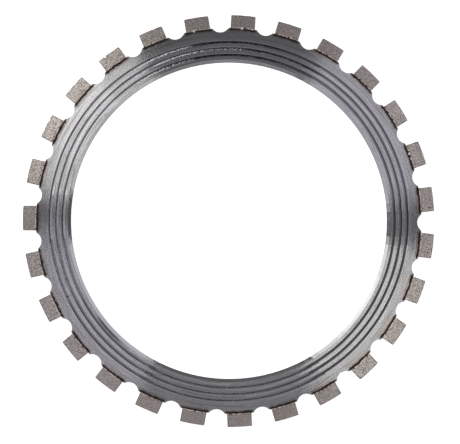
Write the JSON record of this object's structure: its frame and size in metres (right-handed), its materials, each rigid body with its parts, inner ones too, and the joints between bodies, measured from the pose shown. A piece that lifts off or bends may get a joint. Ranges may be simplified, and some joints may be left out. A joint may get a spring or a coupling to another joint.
{
  "type": "ring saw blade",
  "caption": "Open steel ring blade with diamond segments welded to the teeth of its rim, concentric guide grooves in both faces and a bevelled inner running edge.",
  "frame": {"origin": "centre of the ring, half-way through its thickness", "axes": "+Z along the axis of the ring, out of one face; +X through the middle of segment_01; the segments are numbered counter-clockwise seen from +Z"},
  "size_m": [0.3697, 0.37, 0.0044],
  "materials": {
    "core_steel": "turned, fine concentric tool marks",
    "weld_metal": "dark, scaled weld metal",
    "diamond_matrix": "sintered metal with exposed grit, matt"
  },
  "bodies": {
    "root": {"core_ring": "core_steel", "weld_seams": "weld_metal", "segment_01": "diamond_matrix", "segment_02": "diamond_matrix", "segment_03": "diamond_matrix", "segment_04": "diamond_matrix", "segment_05": "diamond_matrix", "segment_06": "diamond_matrix", "segment_07": "diamond_matrix", "segment_08": "diamond_matrix", "segment_09": "diamond_matrix", "segment_10": "diamond_matrix", "segment_11": "diamond_matrix", "segment_12": "diamond_matrix", "segment_13": "diamond_matrix", "segment_14": "diamond_matrix", "segment_15": "diamond_matrix", "segment_16": "diamond_matrix", "segment_17": "diamond_matrix", "segment_18": "diamond_matrix", "segment_19": "diamond_matrix", "segment_20": "diamond_matrix", "segment_21": "diamond_matrix", "segment_22": "diamond_matrix", "segment_23": "diamond_matrix", "segment_24": "diamond_matrix", "segment_25": "diamond_matrix", "segment_26": "diamond_matrix", "segment_27": "diamond_matrix"}
  },
  "joints": []
}
